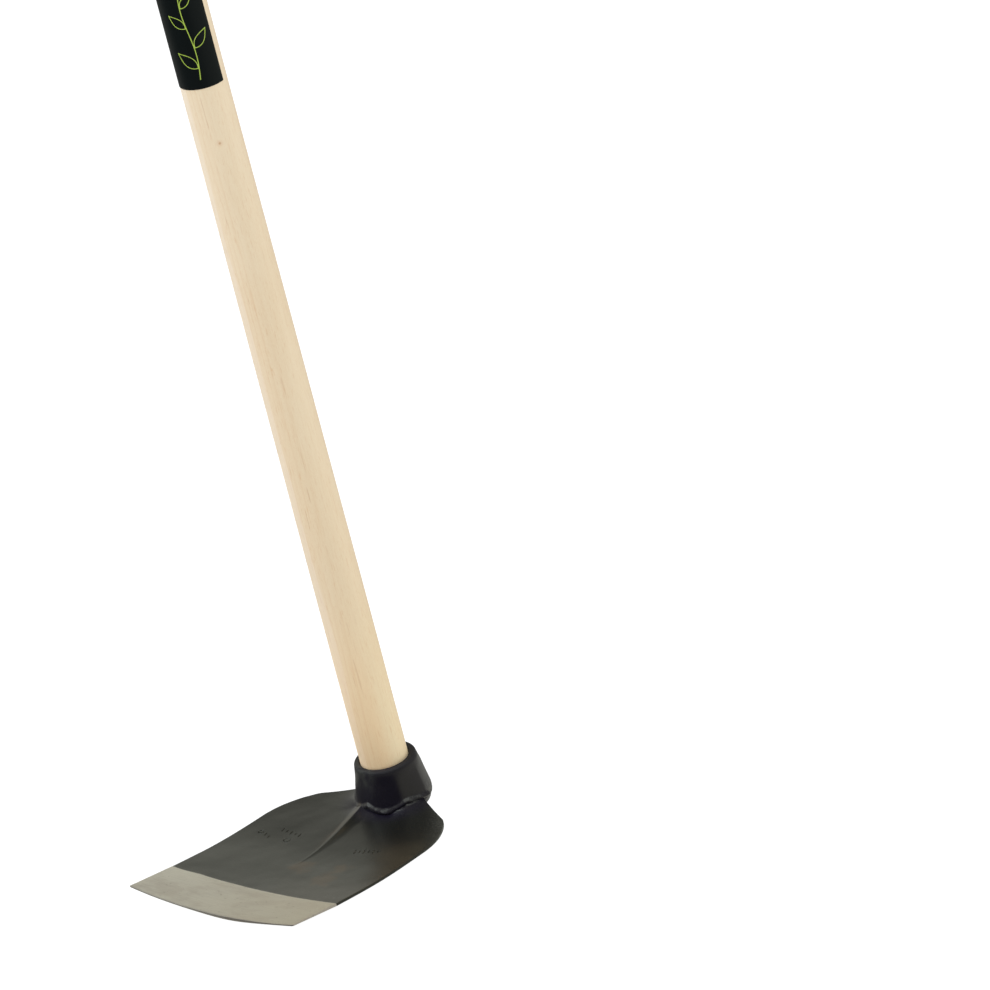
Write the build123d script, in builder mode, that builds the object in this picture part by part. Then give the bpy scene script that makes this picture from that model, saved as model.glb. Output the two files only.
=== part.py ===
"""Grub hoe: a forged head with a round eye, wedged on a long ash handle.

Units are millimetres. The origin is on the handle's axis, in the plane of the
eye's upper rim. +Z runs up the handle, and the blade reaches out along -Y. The
hoe is symmetric about X = 0, apart from its rib, rear corners and label.
"""
from build123d import *
import os

# Handle
HANDLE_LENGTH = 1300.0
HANDLE_END_Z = -38.0          # lower end, just inside the eye
NECK_R = 18.0                 # cylindrical stretch above the head
NECK_TOP_Z = 80.0
WAIST_R = 16.9                # cylindrical stretch under the label
WAIST_START_Z = 510.0
WAIST_END_Z = 790.0
GRIP_R = 16.7                 # cylindrical stretch from here to the domed end
GRIP_START_Z = 850.0
DOME_HEIGHT = 12.0
TENON_END_R = 17.35           # lower end of the tapered tenon

# Eye of the head
EYE_HEIGHT = 38.5
EYE_RIM_R = 23.6
EYE_BULGE_R = 28.9
EYE_BULGE_Z = -32.5
EYE_FOOT_R = 26.6
RIM_ROUND = 2.6
BULGE_ROUND = 3.6
BORE_TOP_R = 18.6
BORE_END_R = 17.4
MOUTH_ROUND = 1.6             # rounding of the bore's upper edge

# Blade, in plan
CORNER_X = 61.2               # rear corners
CORNER_REACH = 16.0
REAR_APEX_Y = 18.0            # where the two rear edges would meet, inside the eye
SHOULDER_R = 65.0             # arc from each rear corner to the side
SIDE_START_X = 78.2
SIDE_START_REACH = 60.0
SIDE_END_X = 80.2
SIDE_END_REACH = 199.3
EDGE_CONVEXITY = 4.0          # how far the cutting edge bows out in its middle
LEFT_CORNER_ROUND = 17.0
RIGHT_CORNER_ROUND = 6.0

TRIM_BOTTOM_Z = -60.0         # the outline cuts everything between these heights
TRIM_HEIGHT = 70.0

# Blade, in section. Each station is (reach, side height, trough depth).
GROUND_REACH = 154.0          # the bare, ground strip starts here
PLATE_T_SIDE = 2.0            # the plate thins towards its sides
PLATE_T_MIDDLE = 3.2
STATION_HALF_W = 84.0
PLATE_STATIONS = (
    (-20.0, -34.8, 0.1),
    (16.0, -34.0, 0.1),
    (52.0, -31.2, 0.2),
    (100.0, -26.6, 1.1),
    (GROUND_REACH, -17.4, 3.4),
)
GROUND_END_REACH = 206.0
GROUND_END_Z = -6.2
GROUND_END_TROUGH = 5.4
EDGE_T_SIDE = 0.8             # thickness left at the corners of the cutting edge
EDGE_T_MIDDLE = 2.4

# Rib that runs from the eye out along the blade: gentle towards -X, steep towards +X
RIB_STATIONS = (              # (reach, crest X, crest height, width at -X, width at +X, foot depth)
    (18.0, -9.5, -29.7, 22.0, 9.0, 6.0),
    (62.0, -1.8, -29.1, 14.0, 6.0, 3.2),
    (112.0, 1.8, -26.8, 1.5, 1.5, 1.2),
)
CREST_HALF_W = 0.2            # half width of the rounded crest
CREST_FALL = 0.08             # fall of the crest over its half width

# Blend that lifts the blade's root to the eye
ROOT_R = 44.0
ROOT_Z = -34.5
ROOT_FOOT_Z = -34.8
ROOT_TOP_Z = -30.0

# Wedges in the lower end of the handle
WOOD_WEDGE_LENGTH = 30.0
WOOD_WEDGE_HALF_T = 2.4
WOOD_WEDGE_TIP_HALF_T = 0.5
WOOD_WEDGE_WIDTH = 33.0
STEEL_WEDGE_LENGTH = 22.0
STEEL_WEDGE_HALF_T = 1.7
STEEL_WEDGE_TIP_HALF_T = 0.3
STEEL_WEDGE_WIDTH = 11.0
STEEL_WEDGE_INNER_REACH = 2.9

# Label round the middle of the handle
LABEL_BOTTOM_Z = 545.0
LABEL_TOP_Z = 750.0
LABEL_T = 0.25
LABEL_START_DEG = -62.0       # measured from the blade's side towards +X
LABEL_END_DEG = 100.0

HANDLE_TOP_Z = HANDLE_END_Z + HANDLE_LENGTH


def section_face(reach, side_z, trough, side_t, middle_t):
    """One cross-section of the blade, standing in the plane Y = -reach."""
    with BuildSketch(Plane.XZ.offset(reach)) as section:
        with BuildLine():
            w = STATION_HALF_W
            middle_z = side_z - trough
            ThreePointArc((-w, side_z), (0, middle_z), (w, side_z))
            Line((w, side_z), (w, side_z - side_t))
            ThreePointArc((w, side_z - side_t), (0, middle_z - middle_t), (-w, side_z - side_t))
            Line((-w, side_z - side_t), (-w, side_z))
        make_face()
    return section.sketch.face()


def rib_face(reach, crest_x, crest_z, left_w, right_w, foot):
    """One cross-section of the rib: a low uneven gable with a rounded crest."""
    with BuildSketch(Plane.XZ.offset(reach)) as section:
        with BuildLine():
            left_foot = (crest_x - left_w, crest_z - foot)
            right_foot = (crest_x + right_w, crest_z - foot)
            left_crest = (crest_x - CREST_HALF_W, crest_z - CREST_FALL)
            right_crest = (crest_x + CREST_HALF_W, crest_z - CREST_FALL)
            Polyline(left_crest, left_foot, right_foot, right_crest)
            ThreePointArc(right_crest, (crest_x, crest_z), left_crest)
        make_face()
    return section.sketch.face()


# Head: one forging, with the blade, the rib and the eye
plate_sections = [section_face(*station, PLATE_T_SIDE, PLATE_T_MIDDLE) for station in PLATE_STATIONS]
ground_sections = [
    plate_sections[-1],
    section_face(GROUND_END_REACH, GROUND_END_Z, GROUND_END_TROUGH, EDGE_T_SIDE, EDGE_T_MIDDLE),
]
rib_sections = [rib_face(*station) for station in RIB_STATIONS]
with BuildPart() as hoe_head:
    loft(plate_sections)
    loft(ground_sections, ruled=True)
    loft(rib_sections)

    # The root rises in a hollow curve to the eye
    with BuildSketch(Plane.XZ):
        with BuildLine():
            Polyline(
                (ROOT_R, ROOT_Z),
                (ROOT_R, ROOT_FOOT_Z),
                (BORE_TOP_R, ROOT_FOOT_Z),
                (BORE_TOP_R, ROOT_TOP_Z),
                (EYE_FOOT_R, ROOT_TOP_Z),
            )
            TangentArc((ROOT_R, ROOT_Z), (EYE_FOOT_R, ROOT_TOP_Z), tangent=(-1, 0))
        make_face()
    revolve(axis=Axis.Z)

    # The plan outline trims all of it
    with BuildSketch(Plane.XY.offset(TRIM_BOTTOM_Z)) as plan:
        with BuildLine():
            Polyline((-CORNER_X, -CORNER_REACH), (0, REAR_APEX_Y), (CORNER_X, -CORNER_REACH))
            RadiusArc((CORNER_X, -CORNER_REACH), (SIDE_START_X, -SIDE_START_REACH), SHOULDER_R)
            Line((SIDE_START_X, -SIDE_START_REACH), (SIDE_END_X, -SIDE_END_REACH))
            ThreePointArc(
                (SIDE_END_X, -SIDE_END_REACH),
                (0, -SIDE_END_REACH - EDGE_CONVEXITY),
                (-SIDE_END_X, -SIDE_END_REACH),
            )
            Line((-SIDE_END_X, -SIDE_END_REACH), (-SIDE_START_X, -SIDE_START_REACH))
            RadiusArc((-SIDE_START_X, -SIDE_START_REACH), (-CORNER_X, -CORNER_REACH), SHOULDER_R)
        make_face()
        left_corner = plan.vertices().sort_by_distance((-CORNER_X, -CORNER_REACH, 0))[0]
        fillet(left_corner, LEFT_CORNER_ROUND)
        right_corner = plan.vertices().sort_by_distance((CORNER_X, -CORNER_REACH, 0))[0]
        fillet(right_corner, RIGHT_CORNER_ROUND)
    extrude(amount=TRIM_HEIGHT, mode=Mode.INTERSECT)

    # Eye: a flaring collar with a rounded rim and a rounded foot
    with BuildSketch(Plane.XZ) as eye_profile:
        with BuildLine():
            Polyline(
                (0, 0),
                (EYE_RIM_R, 0),
                (EYE_BULGE_R, EYE_BULGE_Z),
                (EYE_FOOT_R, -EYE_HEIGHT),
                (0, -EYE_HEIGHT),
                close=True,
            )
        make_face()
        rim = eye_profile.vertices().group_by(Axis.Y)[-1].sort_by(Axis.X)[-1]
        fillet(rim, RIM_ROUND)
        bulge = eye_profile.vertices().sort_by(Axis.X)[-1]
        fillet(bulge, BULGE_ROUND)
    revolve(axis=Axis.Z)

    # Tapered bore for the handle, with a rounded mouth
    with BuildSketch(Plane.XZ):
        with BuildLine():
            mouth = Line((BORE_END_R, -EYE_HEIGHT), (BORE_TOP_R, -MOUTH_ROUND))
            flare = TangentArc(mouth @ 1, (BORE_TOP_R + MOUTH_ROUND, 0), tangent=mouth % 1)
            Polyline(flare @ 1, (0, 0), (0, -EYE_HEIGHT), mouth @ 0)
        make_face()
    revolve(axis=Axis.Z, mode=Mode.SUBTRACT)


def wedge_face(plane, length, half_t, tip_half_t):
    """Side view of a wedge driven up from the handle's end."""
    with BuildSketch(plane) as side_view:
        with BuildLine():
            Polyline(
                (-half_t, HANDLE_END_Z),
                (half_t, HANDLE_END_Z),
                (tip_half_t, HANDLE_END_Z + length),
                (-tip_half_t, HANDLE_END_Z + length),
                close=True,
            )
        make_face()
    return side_view.sketch.face()


# Wooden wedge, across the whole handle end
wood_side = wedge_face(Plane.YZ, WOOD_WEDGE_LENGTH, WOOD_WEDGE_HALF_T, WOOD_WEDGE_TIP_HALF_T)
with BuildPart() as wood_wedge:
    extrude(wood_side, amount=WOOD_WEDGE_WIDTH / 2, both=True)
    with BuildSketch(Plane.XY.offset(HANDLE_END_Z)):
        Circle(TENON_END_R)
    extrude(amount=WOOD_WEDGE_LENGTH, mode=Mode.INTERSECT)

# Steel wedge, driven in across the grain on the blade's side of the wooden one
steel_plane = Plane.XZ.offset(STEEL_WEDGE_INNER_REACH)
steel_side = wedge_face(
    steel_plane, STEEL_WEDGE_LENGTH, STEEL_WEDGE_HALF_T, STEEL_WEDGE_TIP_HALF_T
)
with BuildPart() as steel_wedge:
    extrude(steel_side, amount=STEEL_WEDGE_WIDTH)

# Handle: tapered tenon, straight neck, long taper, straight grip and domed end
with BuildPart() as handle:
    with BuildSketch(Plane.XZ):
        with BuildLine():
            shoulder_z = HANDLE_TOP_Z - DOME_HEIGHT
            dome_r = (GRIP_R**2 + DOME_HEIGHT**2) / (2 * DOME_HEIGHT)
            Polyline(
                (0, shoulder_z),
                (0, HANDLE_END_Z),
                (TENON_END_R, HANDLE_END_Z),
                (NECK_R, 0),
                (NECK_R, NECK_TOP_Z),
                (WAIST_R, WAIST_START_Z),
                (WAIST_R, WAIST_END_Z),
                (GRIP_R, GRIP_START_Z),
                (GRIP_R, shoulder_z),
            )
            RadiusArc((GRIP_R, shoulder_z), (0, HANDLE_TOP_Z), -dome_r)
            Line((0, HANDLE_TOP_Z), (0, shoulder_z))
        make_face()
    revolve(axis=Axis.Z)
    add(wood_wedge.part, mode=Mode.SUBTRACT)
    add(steel_wedge.part, mode=Mode.SUBTRACT)

# Label: a thin printed band part of the way round the handle
with BuildPart() as label:
    with BuildSketch(Plane.XY.offset(LABEL_BOTTOM_Z)):
        with BuildLine():
            outer_r = WAIST_R + LABEL_T
            start = LABEL_START_DEG - 90
            span = LABEL_END_DEG - LABEL_START_DEG
            inner = CenterArc((0, 0), WAIST_R, start, span)
            outer = CenterArc((0, 0), outer_r, start, span)
            Line(inner @ 0, outer @ 0)
            Line(inner @ 1, outer @ 1)
        make_face()
    extrude(amount=LABEL_TOP_Z - LABEL_BOTTOM_Z)

os.makedirs("parts", exist_ok=True)
pieces = {
    "hoe_head": hoe_head,
    "handle": handle,
    "wood_wedge": wood_wedge,
    "steel_wedge": steel_wedge,
    "label": label,
}
for name, piece in pieces.items():
    piece.part.label = name
    export_step(piece.part, f"parts/{name}.step")
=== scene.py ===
import math

import bmesh
import bpy
import numpy as np
from mathutils import Euler, Matrix, Vector, noise


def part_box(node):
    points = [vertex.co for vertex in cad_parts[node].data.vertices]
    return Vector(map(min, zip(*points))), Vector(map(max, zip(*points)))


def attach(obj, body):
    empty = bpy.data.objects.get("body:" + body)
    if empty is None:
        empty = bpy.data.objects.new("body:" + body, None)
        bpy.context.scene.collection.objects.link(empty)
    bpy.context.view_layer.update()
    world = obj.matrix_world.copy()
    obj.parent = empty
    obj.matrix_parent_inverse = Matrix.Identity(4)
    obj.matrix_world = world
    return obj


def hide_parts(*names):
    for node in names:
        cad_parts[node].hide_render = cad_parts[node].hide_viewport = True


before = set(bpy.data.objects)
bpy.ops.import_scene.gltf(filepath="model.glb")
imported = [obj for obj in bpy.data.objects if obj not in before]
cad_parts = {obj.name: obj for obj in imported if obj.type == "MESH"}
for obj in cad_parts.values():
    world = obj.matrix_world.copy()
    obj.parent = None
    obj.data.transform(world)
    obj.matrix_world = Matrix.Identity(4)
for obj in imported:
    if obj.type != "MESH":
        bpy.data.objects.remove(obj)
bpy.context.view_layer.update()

MM = 0.001

# Sizes taken from the frame
HANDLE_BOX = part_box("handle")
HEAD_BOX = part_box("hoe_head")
LABEL_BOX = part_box("label")
HANDLE_LOW = HANDLE_BOX[0].z / MM
HANDLE_TOP = HANDLE_BOX[1].z / MM
HALF_WIDTH = HEAD_BOX[1].x / MM
TIP_REACH = -HEAD_BOX[0].y / MM
EYE_LOW = HEAD_BOX[0].z / MM
LABEL_LOW = LABEL_BOX[0].z / MM
LABEL_TOP = LABEL_BOX[1].z / MM

# Handle
NECK_R, NECK_TOP = 18.0, 80.0
WAIST_R, WAIST_LOW, WAIST_TOP = 16.9, 510.0, 790.0
GRIP_R, GRIP_LOW = 16.7, 850.0
TENON_R = 17.35
DOME_HEIGHT, DOME_STEPS = 12.0, 24.6

# Wedges: length, half thickness at the end and the tip, width, middle in Y, whether it lies along X
WOOD_WEDGE = (30, 2.4, 0.5, 33, 0, True)
STEEL_WEDGE = (22, 1.7, 0.3, 11, -8.4, False)
WEDGE_ROWS, WEDGE_COLUMNS = 12, 10
SLOT_SLACK = 0.06

# Eye
RIM_R, BULGE_R, BULGE_Z, FOOT_R = 23.6, 28.9, -32.5, 26.6
BORE_TOP_R, BORE_LOW_R = 18.6, 17.4

# Blade, in plan. Reach is the distance from the handle's axis towards -Y.
CORNER_X, CORNER_REACH = 61.2, 16.0
REAR_APEX_Y = 18.0
SHOULDER_R = 65.0
SIDE_X, SIDE_REACH = 78.2, 60.0
END_REACH = 199.3
CORNER_ROUND_LEFT, CORNER_ROUND_RIGHT = 17.0, 6.0
TIP_ROUND_LEFT, TIP_ROUND_RIGHT = 1.1, 1.6

# Blade, in section
STATION_HALF_W = 84.0
GROUND_REACH, GROUND_BOW, GROUND_SLOPE = 154.0, 2.0, 11.2 / 52
LEFT_HOLD, LEFT_HOLD_FROM, LEFT_HOLD_TO = 1.8, -50.0, -75.0
T_SIDE, T_MIDDLE = 2.0, 3.2
EDGE_T_THIN, EDGE_T_THICK = 0.7, 2.3
EDGE_THICK_X, EDGE_THICK_W = 20.0, 30.0

# Blade, as a mesh
SHOULDER_STEPS, EDGE_STEPS, TIP_STEPS = 24, 60, 3
REAR_RUN, ARC_STEP = 20.0, 0.25
SLAB_STEP, SLAB_ROWS, SLAB_CROWDING = 1.3, 130, 0.12
SLAB_INNER_R, SLAB_REAR_DEG = 23.0, 101.0

# Forging marks on the eye, and marks struck in the blade
FLAT_COUNT, FLAT_TURN = 8, 0.82
FLAT_DEPTH, FLAT_DEPTH_STRUCK = 0.024, 0.018
BEAD_ABOVE, BEAD_BELOW = 3.4, 2.0
PUNCH_R, PUNCH_LIFT = 0.72, 0.16

# Rows of strokes: count, X and reach of the first, step in each, length, every second one's cut, turn
STROKE_ROWS = (
    (5, -47, 72, 4.6, 0.6, 5.0, 1.6, 16),
    (2, -55, 82.5, 4.6, 1.8, 4.6, 0, 16),
    (6, 30, 79, 3.4, -1.25, 6.2, 2.4, 24),
)

# Label: its film round the waist, in degrees from the blade's side, and its prints
LABEL_DEG = (-62.0, 100.0)
FILM_T, FILM_GAP, FILM_LOW = 0.2, 0.02, LABEL_LOW + 2.2
FILM_ROWS, FILM_COLUMNS = 60, 120
PRINT_MIDDLE_DEG = 42.0
PRINT_T, PRINT_SUNK = 0.035, 0.02
STEM_LINE, LEAF_LINE, FURROW_LINE, SEED = 0.65, 0.55, 1.7, 2.4
SQUARE, SQUARE_UP, CELL = 21.0, LABEL_TOP - 15.5, 2.5

# The head's material slots
FINISH_SLOT, EDGE_SLOT, STAMP_SLOT = 0, 1, 2


# ---- geometry

def natural_spline(knots, values):
    """A smooth curve through a few values; straight beyond its ends."""
    x, y = np.asarray(knots, float), np.asarray(values, float)
    h = np.diff(x)
    n = len(x)
    system, right = np.eye(n), np.zeros(n)
    for i in range(1, n - 1):
        system[i, i - 1:i + 2] = h[i - 1], 2 * (h[i - 1] + h[i]), h[i]
        right[i] = 6 * ((y[i + 1] - y[i]) / h[i] - (y[i] - y[i - 1]) / h[i - 1])
    bend = np.linalg.solve(system, right)

    def curve(at):
        at = np.asarray(at, float)
        i = np.clip(np.searchsorted(x, at) - 1, 0, n - 2)
        inside = np.clip(at, x[0], x[-1])
        a, b = x[i + 1] - inside, inside - x[i]
        here = (bend[i] * a**3 + bend[i + 1] * b**3) / (6 * h[i])
        here += (y[i] / h[i] - bend[i] * h[i] / 6) * a
        here += (y[i + 1] / h[i] - bend[i + 1] * h[i] / 6) * b
        first = (y[1] - y[0]) / h[0] - h[0] * bend[1] / 6
        last = (y[-1] - y[-2]) / h[-1] + h[-1] * bend[-2] / 6
        return here + np.minimum(at - x[0], 0) * first + np.maximum(at - x[-1], 0) * last

    return curve


def smoothstep(low, high, value):
    """0 at low, 1 at high and beyond, with a soft start and end."""
    t = np.clip((np.asarray(value, float) - low) / (high - low), 0, 1)
    return t * t * (3 - 2 * t)


def between(start, end, share):
    return start + (end - start) * share


def rounded(corners, radii):
    """An open outline through the corners, with an arc at each that has a radius."""
    points = []
    for i, (corner, radius) in enumerate(zip(corners, radii)):
        corner = np.array(corner, float)
        if radius == 0:
            points.append(corner)
            continue
        before = np.array(corners[i - 1], float) - corner
        after = np.array(corners[i + 1], float) - corner
        before /= np.linalg.norm(before)
        after /= np.linalg.norm(after)
        half = math.acos(np.clip(before @ after, -1, 1)) / 2
        middle = (before + after) / np.linalg.norm(before + after)
        centre = corner + middle * radius / math.sin(half)
        start = corner + before * radius / math.tan(half) - centre
        end = corner + after * radius / math.tan(half) - centre
        sweep = math.pi - 2 * half
        steps = max(2, round(radius * sweep / ARC_STEP))
        for k in range(steps + 1):
            t = k / steps * sweep
            points.append(centre + (start * math.sin(sweep - t) + end * math.sin(t)) / math.sin(sweep))
    return np.array(points)


def evenly(points, step):
    """The same line, with a point at least every step."""
    out = [points[0]]
    for a, b in zip(points[:-1], points[1:]):
        count = max(1, math.ceil(np.linalg.norm(b - a) / step))
        out += [a + (b - a) * k / count for k in range(1, count + 1)]
    return np.array(out)


def in_scene(name, data):
    made = bpy.data.objects.new(name, data)
    bpy.context.scene.collection.objects.link(made)
    return made


def new_object(name, points, faces, slots=None):
    """A mesh object from points in millimetres."""
    mesh = bpy.data.meshes.new(name)
    mesh.from_pydata(np.asarray(points, float) * MM, [], [tuple(int(v) for v in f) for f in faces])
    if slots is not None:
        mesh.polygons.foreach_set("material_index", np.asarray(slots, np.int32))
    mesh.update()
    return in_scene(name, mesh)


def grid_faces(rows, columns, wrap=False, start=0):
    """Quads between the rows of a grid of points; wrap joins the last column to the first."""
    i = np.arange(rows - 1)[:, None] * columns
    j = np.arange(columns if wrap else columns - 1)[None, :]
    k = (j + 1) % columns
    quads = np.stack([i + j, i + k, i + columns + k, i + columns + j], -1)
    return (quads.reshape(-1, 4) + start).tolist()


def shell_faces(rows, columns):
    """Faces of a closed shell between two grids, and the border edges under the last of them."""
    n = rows * columns
    faces = grid_faces(rows, columns)
    faces += [f[::-1] for f in grid_faces(rows, columns, start=n)]
    lines = [
        [i * columns for i in range(rows)],
        [i * columns + columns - 1 for i in range(rows)],
        [n - columns + j for j in range(columns)],
        list(range(columns)),
    ]
    border = [edge for line in lines for edge in zip(line[:-1], line[1:])]
    faces += [[a, b, b + n, a + n] for a, b in border]
    return faces, border


def lathe(name, profile, around, shape=None, closed=False, slot=0):
    """Turns a profile of (radius, height) about Z. shape may change the points before they are used."""
    profile = np.asarray(profile, float)
    turn = np.arange(around) / around * 2 * math.pi
    r, z = profile[:, 0][:, None], profile[:, 1][:, None]
    points = np.stack([r * np.sin(turn), -r * np.cos(turn), z + 0 * turn], -1).reshape(-1, 3)
    if shape:
        points = shape(points)
    faces = grid_faces(len(profile), around, wrap=True)
    last = (len(profile) - 1) * around
    if closed:
        faces += [[last + j, last + (j + 1) % around, (j + 1) % around, j] for j in range(around)]
    else:
        faces.append(list(range(around))[::-1])
        faces.append([last + j for j in range(around)])
    return new_object(name, points, faces, [slot] * len(faces))


def outward(piece):
    """Turns all faces to look outwards."""
    bm = bmesh.new()
    bm.from_mesh(piece.data)
    bmesh.ops.recalc_face_normals(bm, faces=bm.faces)
    bm.to_mesh(piece.data)
    bm.free()


def soften(piece, width):
    """Rounds the sharp edges of a piece by width, in millimetres."""
    bm = bmesh.new()
    bm.from_mesh(piece.data)
    limit = math.radians(50)
    sharp = [e for e in bm.edges if len(e.link_faces) == 2 and e.calc_face_angle() > limit]
    bmesh.ops.bevel(
        bm, geom=sharp, offset=width * MM, segments=2, profile=0.5,
        affect="EDGES", clamp_overlap=True,
    )
    bm.to_mesh(piece.data)
    bm.free()


def smooth(piece, angle):
    """Smooth shading, except over edges sharper than an angle in degrees."""
    piece.data.shade_smooth()
    piece.data.set_sharp_from_angle(angle=math.radians(angle))


def boolean(piece, other, operation):
    """Joins another piece to this one, or cuts it out, and removes the other."""
    modifier = piece.modifiers.new("join", "BOOLEAN")
    modifier.operation = operation
    modifier.solver = "MANIFOLD"
    modifier.object = other
    graph = bpy.context.evaluated_depsgraph_get()
    result = bpy.data.meshes.new_from_object(piece.evaluated_get(graph))
    piece.modifiers.clear()
    old = piece.data
    piece.data = result
    bpy.data.meshes.remove(old)
    bpy.data.objects.remove(other)


def join(pieces):
    """Several objects as one mesh object, named after the first."""
    first = pieces[0]
    bm = bmesh.new()
    for piece in pieces:
        bm.from_mesh(piece.data)
    bm.to_mesh(first.data)
    bm.free()
    for piece in pieces[1:]:
        bpy.data.objects.remove(piece)
    return first


def pushed_out(points, amount, least_r):
    """Points moved away from Z by an amount each, less where they lie within least_r of it."""
    radius = np.hypot(points[:, 0], points[:, 1])
    points = points.copy()
    points[:, :2] *= (1 + amount / np.maximum(radius, least_r))[:, None]
    return points


def waves(points, size, amount, seed=0.0):
    """Gentle unevenness: a smooth noise value for each point, in millimetres."""
    shift = np.array((seed, -seed, 2 * seed))
    return np.array([amount * noise.noise(Vector(p / size + shift)) for p in points])


# ---- head

# Along the reach: the black plate's height at its middle, and how far that lies below its sides
plate_height = natural_spline((-20, 16, 52, 100, 154), (-34.8, -34.0, -31.2, -26.6, -17.4))
trough_depth = natural_spline((-20, 16, 52, 100, 154, 206), (0.1, 0.1, 0.2, 1.1, 3.4, 5.4))

# Along the reach: where the rib's crest lies, its height and the width of its two sides
RIB_START, RIB_END = 28.0, 112.0
crest_x = natural_spline((28, 45, 58, 70, 82, 95, 112), (-7.9, -5.1, -2.4, -0.5, 1.0, 1.9, 1.8))
rib_height = natural_spline(
    (28, 33, 45, 58, 70, 82, 95, 112),
    (3.6, 3.3, 2.5, 1.75, 1.2, 0.8, 0.42, 0.0),
)
rib_left = natural_spline((28, 45, 70, 95, 112), (7.0, 4.8, 2.9, 1.8, 1.0))
rib_right = natural_spline((28, 45, 58, 75, 85, 112), (8.5, 7.0, 6.2, 5.0, 3.6, 1.5))
RIB_SHOULDER_W, RIB_SHOULDER_SHARE = 45.0, 0.76
RIB_RIGHT_POWER = 1.9
CREST_ROUND = 0.08

# Round the eye, in degrees from the blade's side: how far the plate swells, and the bead's height
swell_height = natural_spline(
    (0, 25, 34, 40, 49, 57, 70, 82, 92, 105),
    (0.3, 0.5, 0.6, 1.8, 3.6, 4.9, 5.1, 4.4, 3.3, 1.8),
)
bead_height = natural_spline(
    (0, 15, 33, 47, 57, 71, 92, 125),
    (-26.4, -29.8, -31.2, -29.6, -27.6, -27.6, -29.6, -32),
)
ROOT_FADE, ROOT_LEFT_SHARE = 11.0, 0.3
FILLET_LEFT, FILLET_RIGHT = 1.1, 0.85
FILLET_FADE_LEFT, FILLET_FADE_RIGHT = 2.0, 1.1
WEB_X, WEB_HEIGHT, WEB_W = 0.5, 2.6, 6.5


def ground_boundary(x):
    """Reach at which the bare ground strip begins."""
    bow = GROUND_BOW * (1 - (x / HALF_WIDTH) ** 2)
    return GROUND_REACH + bow + LEFT_HOLD * smoothstep(LEFT_HOLD_FROM, LEFT_HOLD_TO, x)


def plate_top(x, reach):
    """Height of the blade's upper face without its rib and root."""
    black = plate_height(np.minimum(reach, GROUND_REACH))
    ground = np.maximum(reach - GROUND_REACH, 0) * GROUND_SLOPE
    return black + ground + trough_depth(reach) * ((x / STATION_HALF_W) ** 2 - 1)


def rib_rise(x, reach):
    """The rib: a low shoulder at the left, a sharp crest and a short steep side at the right."""
    along = np.clip(reach, RIB_START, RIB_END)
    off = x - crest_x(along)
    left = off < 0
    across = np.abs(off) / np.where(left, rib_left(along), rib_right(along))
    narrow = np.clip(1 - np.hypot(across, CREST_ROUND) + CREST_ROUND, 0, 1)
    wide = np.clip(1 - np.abs(off) / RIB_SHOULDER_W, 0, 1) ** 2
    left_side = between(narrow, wide, RIB_SHOULDER_SHARE)
    return np.maximum(rib_height(along), 0) * np.where(left, left_side, narrow**RIB_RIGHT_POWER)


def root_rise(x, reach):
    """What rises against the eye: a swell at both sides, a fillet and a web in the middle."""
    gap = np.maximum(np.hypot(x, reach) - BULGE_R + 0.6, 0)
    degrees = np.degrees(np.arctan2(np.abs(x), reach))
    right = smoothstep(-22, 6, x)
    swell = swell_height(degrees) * between(ROOT_LEFT_SHARE, 1, right) * np.exp(-gap / ROOT_FADE)
    fade = between(FILLET_FADE_LEFT, FILLET_FADE_RIGHT, right)
    fillet = between(FILLET_LEFT, FILLET_RIGHT, right) * np.exp(-gap / fade)
    web_off = ((x - WEB_X) / WEB_W) ** 2 + ((reach - BULGE_R) / WEB_W) ** 2
    return swell + fillet + WEB_HEIGHT * np.exp(-web_off)


def blade_top(x, reach):
    """Height of the blade's upper face."""
    return plate_top(x, reach) + rib_rise(x, reach) + root_rise(x, reach)


def blade_thickness(x, reach):
    """Thickest along the middle, thinning to an edge that is worn less right of its middle."""
    black = between(T_SIDE, T_MIDDLE, 1 - (x / STATION_HALF_W) ** 2)
    worn_less = np.exp(-(((x - EDGE_THICK_X) / EDGE_THICK_W) ** 2))
    edge = between(EDGE_T_THIN, EDGE_T_THICK, worn_less)
    share = np.clip((reach - GROUND_REACH) / (TIP_REACH + 2 - GROUND_REACH), 0, 1)
    return between(black, edge, share)


def shoulder_arc():
    """The blade's side from its rear corner to where it runs straight, as points of one arc."""
    across, along = SIDE_X - CORNER_X, SIDE_REACH - CORNER_REACH
    half_angle = math.asin(math.hypot(across, along) / 2 / SHOULDER_R)
    start = math.atan2(across, along) + half_angle
    angles = [start - 2 * half_angle * k / SHOULDER_STEPS for k in range(SHOULDER_STEPS + 1)]
    return [
        (
            CORNER_X + SHOULDER_R * (math.cos(a) - math.cos(start)),
            CORNER_REACH + SHOULDER_R * (math.sin(start) - math.sin(a)),
        )
        for a in angles
    ]


def half_outline(corner_round, corner_end, tip_round):
    """One side's outline as (x, reach). Its rear corner is rounded on to a point of the shoulder."""
    shoulder = shoulder_arc()
    rear_slope = (CORNER_REACH + REAR_APEX_Y) / CORNER_X
    rear = (CORNER_X - REAR_RUN, CORNER_REACH - REAR_RUN * rear_slope)
    x = np.linspace(HALF_WIDTH, 0, EDGE_STEPS)[1:]
    edge = np.stack([x, between(END_REACH, TIP_REACH, 1 - (x / HALF_WIDTH) ** 2)], -1)
    corner = rounded([rear, shoulder[0], shoulder[corner_end]], [0, corner_round, 0])[1:-1]
    edge = edge[TIP_STEPS:]
    tip = rounded([shoulder[-1], (HALF_WIDTH, END_REACH), edge[0]], [0, tip_round, 0])[1:-1]
    return np.vstack([corner, shoulder[corner_end:], tip, edge])


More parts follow.
